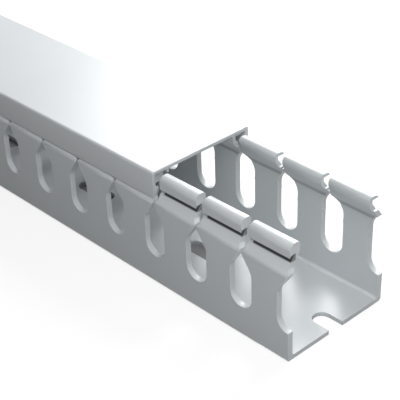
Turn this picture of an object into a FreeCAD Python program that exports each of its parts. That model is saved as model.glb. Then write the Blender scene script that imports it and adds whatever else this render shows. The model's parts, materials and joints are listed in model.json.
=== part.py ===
import FreeCAD, Part
import math
import os

# Slotted wire duct: a slotted U base and its clip-on cover, both extruded rigid PVC.
# Millimetres. X runs along the duct, Y across it, Z up from the underside.
# The origin is in the plane of the base's underside, below the middle of the two as they lie.

Vector = FreeCAD.Vector

# Stock length and outer width
length = 500.0
width = 45.0

# Base walls and floor; each drop is measured down from the hook's top
wall_thickness = 2.2
floor_thickness = 1.6
shoulder_drop = 9.3
shoulder_tilt = 52.0
shoulder_radius = 2.6
shoulder_inner_drop = 10.1
shoulder_inner_tilt = 58.0
inner_corner_radius = 1.0
outer_corner_radius = 1.0

# Rounded hook along the top of each wall
hook_height = 41.4
hook_inset = 2.1
hook_width = 4.4
hook_drop = 4.6
hook_notch = 2.4
hook_outer_radius = 2.2
hook_inner_radius = 1.4
hook_back_radius = 5.0

# Cut-outs in the walls, one set for each pitch
slot_pitch = 20.0
slot_width = 9.4
slot_bottom = 10.9
slot_shoulder_drop = 16.2
slot_shoulder_radius = 4.0
slot_top_drop = 10.2
neck_gap = 0.9
neck_top_drop = 9.2
mouth_gap = 3.0
mouth_drop = 8.0

# Screw slots in the floor
screw_slot_pitch = 60.0
screw_slot_length = 18.0
screw_slot_width = 6.6

# Cover
cover_thickness = 1.3
cover_length = 500.0
cover_setback = 60.0
cover_clearance = 0.3
cover_corner_radius = 0.8
bead_reach = 1.2
rib_depth = 1.2
rib_thickness = 1.0

# Places worked out from the sizes above
near_end = (cover_setback + cover_length) / 2
far_end = near_end - length
half_width = width / 2
hook_outer = half_width - hook_inset
hook_inner = hook_outer - hook_width
hook_bottom = hook_height - hook_drop
shoulder_height = hook_height - shoulder_drop
shoulder_inner_height = hook_height - shoulder_inner_drop
slot_shoulder = hook_height - slot_shoulder_drop
slot_top = hook_height - slot_top_drop
neck_top = hook_height - neck_top_drop
mouth_bottom = hook_height - mouth_drop
notch_end = hook_outer - hook_notch


def rounded_face(corners, place):
    """Flat face inside corners (u, v, radius), where place puts (u, v) in space."""
    edges = []
    start = None
    first = None
    count = len(corners)
    for index in range(count):
        u, v, radius = corners[index]
        here = Vector(u, v, 0)
        before = Vector(*corners[index - 1][:2], 0) - here
        after = Vector(*corners[(index + 1) % count][:2], 0) - here
        before.normalize()
        after.normalize()
        half_angle = before.getAngle(after) / 2
        if radius > 0:
            reach = radius / math.tan(half_angle)
            inward = before + after
            inward.normalize()
            middle = here + inward * (radius / math.sin(half_angle) - radius)
            into, out = here + before * reach, here + after * reach
        else:
            into = out = here
        if first is None:
            first = into
        elif (into - start).Length > 1e-6:
            edges.append(Part.LineSegment(place(start), place(into)).toShape())
        if radius > 0:
            edges.append(Part.Arc(place(into), place(middle), place(out)).toShape())
        start = out
    if (first - start).Length > 1e-6:
        edges.append(Part.LineSegment(place(start), place(first)).toShape())
    return Part.Face(Part.Wire(edges))


def mirrored(corners):
    """The corners followed by their mirror images in reverse order."""
    return corners + [(-u, v, radius) for u, v, radius in reversed(corners)]


def extrusion(corners, start, run):
    """Profile across the duct, extruded along it from start."""
    face = rounded_face(corners, lambda point: Vector(start, point.x, point.y))
    return face.extrude(Vector(run, 0, 0))


def slope(height, tilt, reach):
    """Height of a slope that starts at height, reach further in."""
    return height + reach * math.tan(math.radians(tilt))


def above_shoulder(y, clearance):
    """Height at y of a line that clears the wall's sloping shoulder."""
    clear = clearance / math.cos(math.radians(shoulder_tilt))
    return slope(shoulder_height, shoulder_tilt, half_width - y) + clear


def below_hook(y, clearance):
    """Height at y of a line that clears the sloping underside of the hook."""
    rise = (above_shoulder(notch_end, 0) - hook_bottom) / hook_notch
    return hook_bottom + (hook_outer - y) * rise - clearance * math.hypot(1, rise)


def base_profile():
    """Half of the base's section, from the underside over the hook to the floor."""
    inner_wall = half_width - wall_thickness
    hook_back = slope(shoulder_inner_height, shoulder_inner_tilt, inner_wall - hook_inner)
    return [
        (half_width, 0, outer_corner_radius),
        (half_width, shoulder_height, shoulder_radius),
        (notch_end, above_shoulder(notch_end, 0), 0),
        (hook_outer, hook_bottom, 0),
        (hook_outer, hook_height, hook_outer_radius),
        (hook_inner, hook_height, hook_inner_radius),
        (hook_inner, hook_back, hook_back_radius),
        (inner_wall, shoulder_inner_height, 0),
        (inner_wall, floor_thickness, inner_corner_radius),
    ]


def wall_cutter(x):
    """One slot, its neck and the mouth above it, through both walls at x."""
    slot_side = slot_width / 2
    neck_side = neck_gap / 2
    mouth_side = mouth_gap / 2
    outline = mirrored([
        (slot_side, slot_bottom, slot_side),
        (slot_side, slot_shoulder, slot_shoulder_radius),
        (neck_side, slot_top, 0),
        (neck_side, neck_top, 0),
        (mouth_side, mouth_bottom, 0),
        (mouth_side, hook_height + 1, 0),
    ])
    run = width + 2
    face = rounded_face(outline, lambda point: Vector(x + point.x, -run / 2, point.y))
    return face.extrude(Vector(0, run, 0))


def screw_slot(x):
    """One round-ended screw slot through the floor at x."""
    half_run = screw_slot_length / 2
    side = screw_slot_width / 2
    outline = mirrored([(half_run, -side, side), (half_run, side, side)])
    face = rounded_face(outline, lambda point: Vector(x + point.x, point.y, -1))
    return face.extrude(Vector(0, 0, floor_thickness + 2))


def places(pitch):
    """Every place along the base, from the near end, that is a whole number of pitches from it."""
    return [near_end - index * pitch for index in range(int(length / pitch + 1.01))]


def slotted_base():
    """U channel with hooked finger walls and screw slots."""
    channel = extrusion(mirrored(base_profile()), far_end, length)
    cutters = [wall_cutter(x) for x in places(slot_pitch)]
    cutters += [screw_slot(x) for x in places(screw_slot_pitch)]
    return channel.cut(Part.Compound(cutters))


def cover_profile():
    """Half of the cover's section: lid, skirt, clip bead and locating rib."""
    lid_bottom = hook_height + cover_clearance
    skirt_inner = hook_outer + cover_clearance
    skirt_outer = skirt_inner + cover_thickness
    bead_tip = skirt_inner - bead_reach
    rib_outer = hook_inner - cover_clearance
    rib_inner = rib_outer - rib_thickness
    return [
        (rib_inner, lid_bottom, 0),
        (rib_inner, lid_bottom - rib_depth, 0.2),
        (rib_outer, lid_bottom - rib_depth, 0.2),
        (rib_outer, lid_bottom, 0),
        (skirt_inner, lid_bottom, 0.4),
        (skirt_inner, below_hook(skirt_inner, cover_clearance), 0),
        (bead_tip, below_hook(bead_tip, cover_clearance), 0),
        (bead_tip, above_shoulder(bead_tip, cover_clearance), 0),
        (skirt_outer, above_shoulder(skirt_outer, cover_clearance), 0),
        (skirt_outer, lid_bottom + cover_thickness, cover_corner_radius),
    ]


def duct_cover():
    """Flat cover, pushed back from the near end by its setback."""
    start = near_end - cover_setback - cover_length
    return extrusion(mirrored(cover_profile()), start, cover_length)


os.makedirs("parts", exist_ok=True)
slotted_base().exportStep("parts/slotted_base.step")
duct_cover().exportStep("parts/duct_cover.step")
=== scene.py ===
import json
import math

import bpy
from mathutils import Matrix, Vector

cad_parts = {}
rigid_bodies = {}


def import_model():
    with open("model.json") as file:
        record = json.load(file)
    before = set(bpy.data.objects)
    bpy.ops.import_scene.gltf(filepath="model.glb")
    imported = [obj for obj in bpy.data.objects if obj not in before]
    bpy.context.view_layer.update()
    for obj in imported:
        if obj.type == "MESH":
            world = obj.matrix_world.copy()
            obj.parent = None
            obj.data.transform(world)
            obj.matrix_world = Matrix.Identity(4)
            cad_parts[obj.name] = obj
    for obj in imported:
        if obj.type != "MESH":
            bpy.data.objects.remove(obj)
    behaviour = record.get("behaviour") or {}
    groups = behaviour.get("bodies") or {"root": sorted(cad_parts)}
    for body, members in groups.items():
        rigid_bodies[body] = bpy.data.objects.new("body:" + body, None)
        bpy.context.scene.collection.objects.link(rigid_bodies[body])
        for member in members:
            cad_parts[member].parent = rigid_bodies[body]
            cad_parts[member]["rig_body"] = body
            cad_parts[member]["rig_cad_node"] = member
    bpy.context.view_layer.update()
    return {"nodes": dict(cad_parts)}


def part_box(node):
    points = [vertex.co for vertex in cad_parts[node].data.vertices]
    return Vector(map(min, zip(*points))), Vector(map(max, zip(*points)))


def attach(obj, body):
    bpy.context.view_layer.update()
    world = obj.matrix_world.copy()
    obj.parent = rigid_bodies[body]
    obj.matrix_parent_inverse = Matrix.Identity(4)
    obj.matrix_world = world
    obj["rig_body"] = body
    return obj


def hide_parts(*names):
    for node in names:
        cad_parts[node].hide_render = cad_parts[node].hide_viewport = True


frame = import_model()
BASE_LOW, BASE_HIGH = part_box("slotted_base")

# Camera: its place in duct widths from the near end, then degrees and pixels
DUCT_WIDTH = BASE_HIGH.y - BASE_LOW.y
NEAR_END = Vector((BASE_HIGH.x, 0, 0))
CAMERA_PLACE = (4.1618, -5.0776, 5.1281)
CAMERA_HEADING = 137.46
CAMERA_FALL = 31.67
CAMERA_ROLL = -1.977
FOCAL_PIXELS = 1162.0
PICTURE_PIXELS = 400

# Lamps: name, place, target and size in duct widths from the near end, power in watts
LAMPS = (
    ("behind", (-4, 13, 5), (-2, 0, 0.5), 8, 6),
    ("behind_high", (-6, 9, 9), (-2, 0, 0.5), 8, 3.3),
    ("overhead", (0, 0, 14), (-2, 0, 0.5), 8, 0.5),
    ("near_high", (4, -3.5, 9), (-0.5, 0, 0.5), 6, 1.45),
    ("near_front", (5, -5.5, 4), (-0.5, 0, 0.5), 5, 0.4),
)
SKY_STRENGTH = 0.13

# Floor: its size in metres, what it throws back, how much brighter the camera sees it,
# and how far its colour is darkened under the duct as painted shade, short of the near end
FLOOR_SIZE = 8
FLOOR_THROWN_BACK = 0.35
FLOOR_SEEN = 0.60
FLOOR_GLOW = 0.75
UNDER_DUCT_PAINTED_SHADE = 0.75
UNDER_DUCT_SHORT = 0.012
UNDER_DUCT_FADE = 0.001

# Finish of the extruded plastic
PVC_GREY = (0.475, 0.50, 0.514, 1.0)
COVER_GREY = (0.44, 0.46, 0.472, 1.0)
PVC_ROUGHNESS = 0.30
EDGE_ROUND = 0.00018

# Angles in degrees up to which faces count as one plane and are shaded as one,
# the angle from which an edge is rounded, and how near points lie that are joined
FLAT_ANGLE = 1
SMOOTH_ANGLE = 40
SHARP_ANGLE = 30
MERGE_REACH = 1e-6

# Depth of the shade painted into the base's colour in the notch under the near hooks and in the
# far wall's fold:
# the part of each pitch, the places across and the heights in metres, and the strength
NOTCH_PITCH_PART = (0.06, 0.86)
NOTCH_ACROSS = (-0.02035, -0.0178)
NOTCH_HEIGHTS = (0.0351, 0.0378)
NOTCH_PAINTED_SHADE = 0.88
FOLD_ACROSS = (0.0184, 0.0206)
FOLD_HEIGHTS = (0.0311, 0.0336)
FOLD_PAINTED_SHADE = 0.36
PITCH_FADE = 0.02
HOLLOW_FADE = 0.0003
NOTCH_EDGE_FADE = 0.0001

# Far wall as the photograph shows it, in metres and degrees
SLOT_PITCH = 0.020
SLOT_COUNT = 26
TOOL_ACROSS = (0.010, 0.026)
PAST_END = 0.005
GROOVE_ACROSS = (0.0173, 0.0215)
GROOVE_FLOOR = 0.0342
GROOVE_SLOPE_TOP = (0.0180, 0.03795)
ROOF_UNDERSIDE = 0.0401
FAR_SLOT_SIDE = 0.00468
FAR_SLOT_FOOT = 0.0245
FAR_SLOT_SHOULDER = 0.0287
FAR_SLOT_TOP = 0.0336
FAR_SLOT_TIP = 0.0016
FAR_SLOT_ROUND = 0.0011
FAR_NECK_SIDE = 0.0005
FAR_NECK_TOP = 0.0380
BRIDGE_SIDE = 0.0016
BRIDGE_INNER = 0.0150
BRIDGE_LOW = 0.0310
BRIDGE_TOP = 0.0364
BRIDGE_SETBACK = 0.00005
TRIM_LOW = (0.010, 0.030)
TRIM_HIGH = (0.030, 0.040)
SHOULDER_FOLD = (0.0225, 0.0321)
SHOULDER_TILT = 52
UNDERSIDE_FOLD = (0.0203, 0.0313)
UNDERSIDE_TILT = 58


class Socket:
    """An output socket that takes part in shader maths."""

    def __init__(self, finish, output):
        self.finish = finish
        self.output = output

    def maths(self, operation, first, second):
        return self.finish.node("ShaderNodeMath", {"operation": operation}, {0: first, 1: second})

    def __add__(self, other):
        return self.maths("ADD", self, other)

    def __radd__(self, other):
        return self.maths("ADD", other, self)

    def __sub__(self, other):
        return self.maths("SUBTRACT", self, other)

    def __rsub__(self, other):
        return self.maths("SUBTRACT", other, self)

    def __mul__(self, other):
        return self.maths("MULTIPLY", self, other)


class Finish:
    """A material being made, with one method that adds any node and short ones for some."""

    def __init__(self, name):
        self.material = bpy.data.materials.new(name)
        self.material.use_nodes = True
        self.tree = self.material.node_tree
        self.tree.nodes.clear()

    def node(self, kind, settings=None, inputs=None, output=0):
        made = self.tree.nodes.new(kind)
        for name, value in (settings or {}).items():
            setattr(made, name, value)
        for name, value in (inputs or {}).items():
            if isinstance(value, Socket):
                self.tree.links.new(value.output, made.inputs[name])
            else:
                made.inputs[name].default_value = value
        return Socket(self, made.outputs[output]) if made.outputs else None

    def noise(self, place, scale, detail):
        inputs = {"Vector": place, "Scale": scale, "Detail": detail}
        return self.node("ShaderNodeTexNoise", None, inputs)

    def axes(self, place):
        return [self.node("ShaderNodeSeparateXYZ", None, {0: place}, axis) for axis in range(3)]

    def ramp(self, value, start, end):
        """0 where value is at start, rising to 1 at end."""
        inputs = {"Value": value, "From Min": start, "From Max": end}
        return self.node("ShaderNodeMapRange", None, inputs)

    def between(self, value, limits, fade):
        """0 outside the limits of value, fading to 1 inside them."""
        low, high = limits
        return self.ramp(value, low, low + fade) * self.ramp(value, high, high - fade)

    def surface(self, shader):
        self.node("ShaderNodeOutputMaterial", None, {"Surface": shader})
        return self.material


def painted_hollow_shade(finish, place):
    """Painted shade in the notch, short of each finger's ends, and more lightly in the fold."""
    x, y, z = finish.axes(place)
    pitches = (BASE_HIGH.x - x) * (1 / SLOT_PITCH)
    along = finish.node("ShaderNodeMath", {"operation": "FRACT"}, {0: pitches})
    notch = (finish.between(along, NOTCH_PITCH_PART, PITCH_FADE)
             * finish.between(y, NOTCH_ACROSS, NOTCH_EDGE_FADE)
             * finish.between(z, NOTCH_HEIGHTS, HOLLOW_FADE))
    fold = (finish.between(y, FOLD_ACROSS, HOLLOW_FADE)
            * finish.between(z, FOLD_HEIGHTS, HOLLOW_FADE))
    return notch * NOTCH_PAINTED_SHADE + fold * FOLD_PAINTED_SHADE


def pvc(name, colour, with_painted_shade=False):
    """Satin extruded plastic with faint draw lines along X and a fine grain, and shade painted
    into its colour in the notch and fold if asked.
    """
    finish = Finish(name)
    place = finish.node("ShaderNodeTexCoord", output=3)
    drawn = finish.node("ShaderNodeMapping", None, {"Vector": place, "Scale": (6, 1400, 1400)})
    lines = finish.noise(drawn, 1.0, 3.0)
    grain = finish.noise(place, 2600.0, 2.0)
    cloud = finish.noise(place, 28.0, 3.0)
    shade = 1 + (cloud - 0.5) * 0.05 + (lines - 0.5) * 0.015
    # Shade painted into the colour in the notch under the near hooks and in the far wall's fold
    if with_painted_shade:
        shade = shade * (1 - painted_hollow_shade(finish, place))
    tint = finish.node("ShaderNodeVectorMath", {"operation": "SCALE"},
                       {0: colour[:3], "Scale": shade})
    relief = {"Strength": 0.06, "Distance": 0.00003, "Height": lines * 0.6 + grain * 0.4}
    shader = finish.node("ShaderNodeBsdfPrincipled", None, {
        "Base Color": tint,
        "Roughness": PVC_ROUGHNESS + (lines - 0.5) * 0.03 + (cloud - 0.5) * 0.06,
        "Normal": finish.node("ShaderNodeBump", None, relief),
        "IOR": 1.52,
    })
    return finish.surface(shader)


def paper_white():
    """Floor that the camera sees white, with its shadow, and that throws back less light, its
    colour darkened under the duct as painted shade.
    """
    finish = Finish("paper_white")
    seen = finish.node("ShaderNodeLightPath")
    x, y, _ = finish.axes(finish.node("ShaderNodeTexCoord", output=3))
    along = (BASE_LOW.x, BASE_HIGH.x - UNDER_DUCT_SHORT)
    across = (BASE_LOW.y, BASE_HIGH.y)
    under = (finish.between(x, along, UNDER_DUCT_FADE)
             * finish.between(y, across, UNDER_DUCT_FADE))
    # Painted shade: the floor's colour is darkened under the duct, and its glow is taken away
    # there
    level = (FLOOR_THROWN_BACK + seen * FLOOR_SEEN) * (1 - under * UNDER_DUCT_PAINTED_SHADE)
    colour = finish.node("ShaderNodeCombineXYZ", None, {"X": level, "Y": level, "Z": level})
    matt = finish.node("ShaderNodeBsdfDiffuse", None, {"Color": colour})
    glow = finish.node("ShaderNodeEmission", None, {"Color": (1, 1, 1, 1), "Strength": 1.0})
    glowing = seen * (1 - under) * FLOOR_GLOW
    return finish.surface(finish.node("ShaderNodeMixShader", None, {0: glowing, 1: matt, 2: glow}))


def deselect():
    for other in bpy.context.selected_objects:
        other.select_set(False)


def block(name, low, high):
    """Box between two corners, with its place in its mesh."""
    deselect()
    bpy.ops.mesh.primitive_cube_add(size=1, location=(Vector(low) + Vector(high)) / 2)
    made = bpy.context.object
    made.name = name
    made.scale = Vector(high) - Vector(low)
    bpy.ops.object.transform_apply(location=True, rotation=True, scale=True)
    return made


def sliced(made, place, outward):
    """Cuts off and closes the side of a piece that outward points to."""
    bpy.context.view_layer.objects.active = made
    bpy.ops.object.mode_set(mode="EDIT")
    bpy.ops.mesh.select_all(action="SELECT")
    normal = Vector(outward).normalized()
    bpy.ops.mesh.bisect(plane_co=place, plane_no=normal, use_fill=True, clear_outer=True)
    bpy.ops.object.mode_set(mode="OBJECT")


def modified(piece, kind, settings):
    """Adds a modifier with these settings and applies it."""
    bpy.context.view_layer.objects.active = piece
    change = piece.modifiers.new("change", kind)
    for name, value in settings.items():
        setattr(change, name, value)
    bpy.ops.object.modifier_apply(modifier="change")


def repeated(tool, count=SLOT_COUNT, step=-SLOT_PITCH):
    """Copies a tool along the duct, to every slot if nothing else is said."""
    modified(tool, "ARRAY", {
        "count": count,
        "use_relative_offset": False,
        "use_constant_offset": True,
        "constant_offset_displace": (step, 0, 0),
    })
    return tool


def rounded(piece, width, segments):
    """Rounds a piece's sharp edges."""
    modified(piece, "BEVEL", {
        "width": width,
        "segments": segments,
        "limit_method": "ANGLE",
        "angle_limit": math.radians(SHARP_ANGLE),
    })


def carve(piece, tool, operation="DIFFERENCE"):
    """Cuts the tool out of the piece, or adds it, and deletes the tool."""
    deselect()
    modified(piece, "BOOLEAN", {"operation": operation, "solver": "EXACT", "object": tool})
    bpy.data.objects.remove(tool)


def merged(piece):
    """Joins points that lie together and faces that lie in one plane."""
    bpy.context.view_layer.objects.active = piece
    bpy.ops.object.mode_set(mode="EDIT")
    bpy.ops.mesh.select_all(action="SELECT")
    bpy.ops.mesh.remove_doubles(threshold=MERGE_REACH)
    bpy.ops.mesh.dissolve_limited(angle_limit=math.radians(FLAT_ANGLE))
    bpy.ops.object.mode_set(mode="OBJECT")


def far_groove():
    """Tool for the groove that opens outwards under the roof of the far hook."""
    groove_end, groove_mouth = GROOVE_ACROSS
    tool = block("far_groove", (BASE_LOW.x - PAST_END, groove_end, GROOVE_FLOOR),
                 (BASE_HIGH.x + PAST_END, groove_mouth, ROOF_UNDERSIDE))
    inner, top = GROOVE_SLOPE_TOP
    run, rise = groove_mouth - inner, top - GROOVE_FLOOR
    sliced(tool, (0, inner, top), (0, -rise, -run))
    return tool


def ends():
    """Tool that trims what stands out past the duct's two ends."""
    tool = block("ends", (BASE_HIGH.x, *TRIM_LOW), (BASE_HIGH.x + PAST_END, *TRIM_HIGH))
    return repeated(tool, 2, BASE_LOW.x - BASE_HIGH.x - PAST_END)


def far_bridges():
    """Wall between the far fingers' shoulders, up to where the far mouths really start."""
    fold_y, fold_z = SHOULDER_FOLD
    under_y, under_z = UNDERSIDE_FOLD
    tool = block("far_bridges", (BASE_HIGH.x - BRIDGE_SIDE, BRIDGE_INNER, BRIDGE_LOW),
                 (BASE_HIGH.x + BRIDGE_SIDE, fold_y - BRIDGE_SETBACK, BRIDGE_TOP))
    shoulder, underside = math.radians(SHOULDER_TILT), math.radians(UNDERSIDE_TILT)
    sliced(tool, (0, fold_y, fold_z - 2 * BRIDGE_SETBACK),
           (0, math.sin(shoulder), math.cos(shoulder)))
    sliced(tool, (0, under_y, under_z + 2 * BRIDGE_SETBACK),
           (0, -math.sin(underside), -math.cos(underside)))
    repeated(tool)
    carve(tool, ends())
    return tool


def far_necks():
    """Tool for the narrow necks between the far slots and their mouths."""
    inner, outer = TOOL_ACROSS
    return repeated(block("far_necks", (BASE_HIGH.x - FAR_NECK_SIDE, inner, BRIDGE_LOW),
                          (BASE_HIGH.x + FAR_NECK_SIDE, outer, FAR_NECK_TOP)))


def far_slot_tops():
    """Tool that raises the far wall's slots and rounds their tops."""
    inner, outer = TOOL_ACROSS
    tool = block("far_slot_tops", (BASE_HIGH.x - FAR_SLOT_SIDE, inner, FAR_SLOT_FOOT),
                 (BASE_HIGH.x + FAR_SLOT_SIDE, outer, FAR_SLOT_TOP))
    run, rise = FAR_SLOT_SIDE - FAR_SLOT_TIP, FAR_SLOT_TOP - FAR_SLOT_SHOULDER
    for side in (-1, 1):
        sliced(tool, (BASE_HIGH.x + side * FAR_SLOT_TIP, 0, FAR_SLOT_TOP), (side * rise, 0, run))
    rounded(tool, FAR_SLOT_ROUND, 3)
    return repeated(tool)


def finished(node, name, body, material, tools=()):
    """Copy of a CAD node, merged, carved and with its edges slightly rounded."""
    deselect()
    source = frame["nodes"][node]
    source.select_set(True)
    bpy.context.view_layer.objects.active = source
    bpy.ops.object.duplicate()
    piece = bpy.context.object
    piece.name = piece.data.name = name
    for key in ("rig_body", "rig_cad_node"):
        del piece[key]
    piece.data.materials.clear()
    piece.data.materials.append(material)
    merged(piece)
    for tool, operation in tools:
        carve(piece, tool(), operation)
        merged(piece)
    rounded(piece, EDGE_ROUND, 2)
    bpy.ops.object.shade_smooth_by_angle(angle=math.radians(SMOOTH_ANGLE))
    piece.parent = None
    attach(piece, body)
    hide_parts(node)


def floor():
    """Pale floor under the duct."""
    deselect()
    bpy.ops.mesh.primitive_plane_add(size=FLOOR_SIZE, location=(0, 0, 0))
    plane = bpy.context.object
    plane.name = "floor"
    plane.data.materials.append(paper_white())


def soft_lamp(name, place, target, size, power):
    """Square soft lamp at place, in duct widths from the near end, turned to target."""
    light = bpy.data.lights.new(name, "AREA")
    light.size = size * DUCT_WIDTH
    light.energy = power
    lamp = bpy.data.objects.new(name, light)
    lamp.location = NEAR_END + DUCT_WIDTH * Vector(place)
    aim = Vector(place) - Vector(target)
    lamp.rotation_euler = aim.to_track_quat("Z", "Y").to_euler()
    bpy.context.scene.collection.objects.link(lamp)


def lights():
    """Soft lamps all round, the strongest behind the duct, under a faint even sky."""
    for lamp in LAMPS:
        soft_lamp(*lamp)
    world = bpy.data.worlds.new("pale_sky")
    world.use_nodes = True
    sky = world.node_tree.nodes["Background"]
    sky.inputs["Color"].default_value = (1, 1, 1, 1)
    sky.inputs["Strength"].default_value = SKY_STRENGTH
    bpy.context.scene.world = world


def camera():
    """Camera at the photograph's viewing angle."""
    lens = bpy.data.cameras.new("camera")
    lens.sensor_width = 36
    lens.lens = FOCAL_PIXELS * lens.sensor_width / PICTURE_PIXELS
    lens.clip_start = 0.01
    view = bpy.data.objects.new("camera", lens)
    heading, fall, roll = (math.radians(x) for x in (CAMERA_HEADING, CAMERA_FALL, CAMERA_ROLL))
    right = Vector((math.sin(heading), -math.cos(heading), 0))
    ahead = Vector((math.cos(heading), math.sin(heading), 0))
    forward = math.cos(fall) * ahead - math.sin(fall) * Vector((0, 0, 1))
    up = right.cross(forward)
    level_right = math.cos(roll) * right + math.sin(roll) * up
    level_up = math.cos(roll) * up - math.sin(roll) * right
    turn = Matrix((level_right, level_up, -forward)).transposed().to_4x4()
    view.matrix_world = Matrix.Translation(NEAR_END + DUCT_WIDTH * Vector(CAMERA_PLACE)) @ turn
    bpy.context.scene.collection.objects.link(view)
    bpy.context.scene.camera = view


far_wall_tools = [
    (far_bridges, "UNION"),
    (far_groove, "DIFFERENCE"),
    (far_slot_tops, "DIFFERENCE"),
    (far_necks, "DIFFERENCE"),
]
base_pvc = pvc("base_pvc", PVC_GREY, with_painted_shade=True)
cover_pvc = pvc("cover_pvc", COVER_GREY)
finished("slotted_base", "grey_base", "base", base_pvc, far_wall_tools)
finished("duct_cover", "grey_cover", "cover", cover_pvc)
floor()
lights()
camera()
bpy.context.scene.view_settings.view_transform = "Standard"
